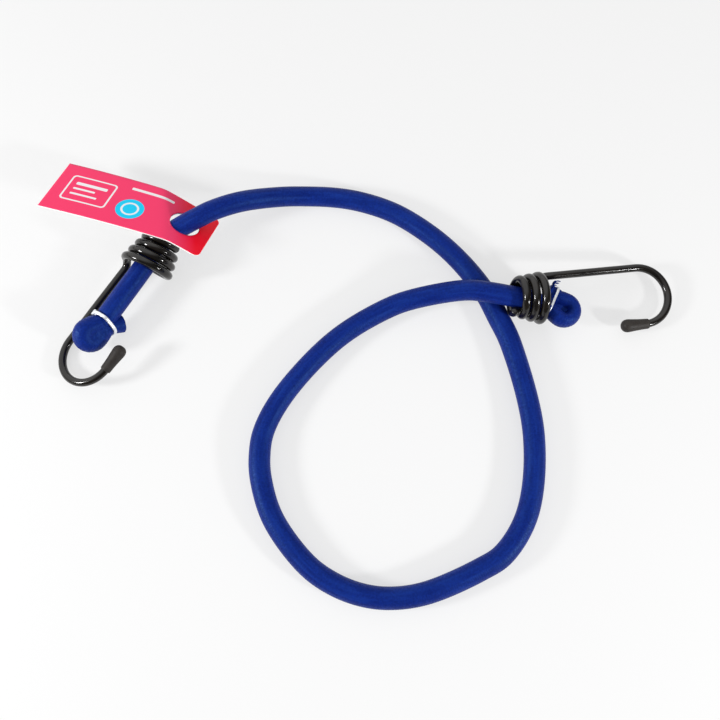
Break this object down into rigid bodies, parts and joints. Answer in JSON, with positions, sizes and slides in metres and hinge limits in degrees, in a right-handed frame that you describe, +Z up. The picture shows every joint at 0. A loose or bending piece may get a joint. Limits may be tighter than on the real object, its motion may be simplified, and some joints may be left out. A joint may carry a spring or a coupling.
{
  "type": "bungee cord",
  "caption": "Fabric-covered elastic cord lying in an open loop, with a wire hook wound onto each end, folded and clipped cord ends, and a card hang tag.",
  "frame": {"origin": "on the table, below the middle of the box round the hooks, clips, folded ends and tag", "axes": "+X from the tagged hook towards the other hook, +Z up from the table"},
  "size_m": [0.2516, 0.1748, 0.0221],
  "materials": {
    "woven_cover": "tight braid of polyester yarn, slightly shiny",
    "rubber_core": "natural rubber strands",
    "black_wire": "glossy black coating on steel wire",
    "dipped_tip": "soft matt vinyl",
    "clip_metal": "bright, lightly scuffed strip",
    "printed_card": "varnished printed card"
  },
  "bodies": {
    "cord": {"cord_cover": "woven_cover", "cord_core": "rubber_core", "left_folded_end": "woven_cover", "left_end_clip": "clip_metal", "right_folded_end": "woven_cover", "right_end_clip": "clip_metal"},
    "left_hook": {"left_hook_wire": "black_wire", "left_hook_cap": "dipped_tip"},
    "right_hook": {"right_hook_wire": "black_wire", "right_hook_cap": "dipped_tip"},
    "tag": {"hang_tag": "printed_card"}
  },
  "joints": [
    {"name": "left_hook_slide", "type": "slide", "parent": "cord", "child": "left_hook", "axis": [-0.5377, -0.842, -0.0446], "range_m": [0, 0.018]},
    {"name": "right_hook_swivel", "type": "hinge", "parent": "cord", "child": "right_hook", "pos_m": [0.0604, -0.012, 0.0124], "axis": [0.9899, 0.0138, -0.141], "range_deg": [-110, 105]},
    {"name": "tag_swing", "type": "hinge", "parent": "cord", "child": "tag", "pos_m": [-0.0695, 0.0183, 0.01366], "axis": [0.8736, 0.4368, 0.2143], "range_deg": [-90, 12]}
  ]
}
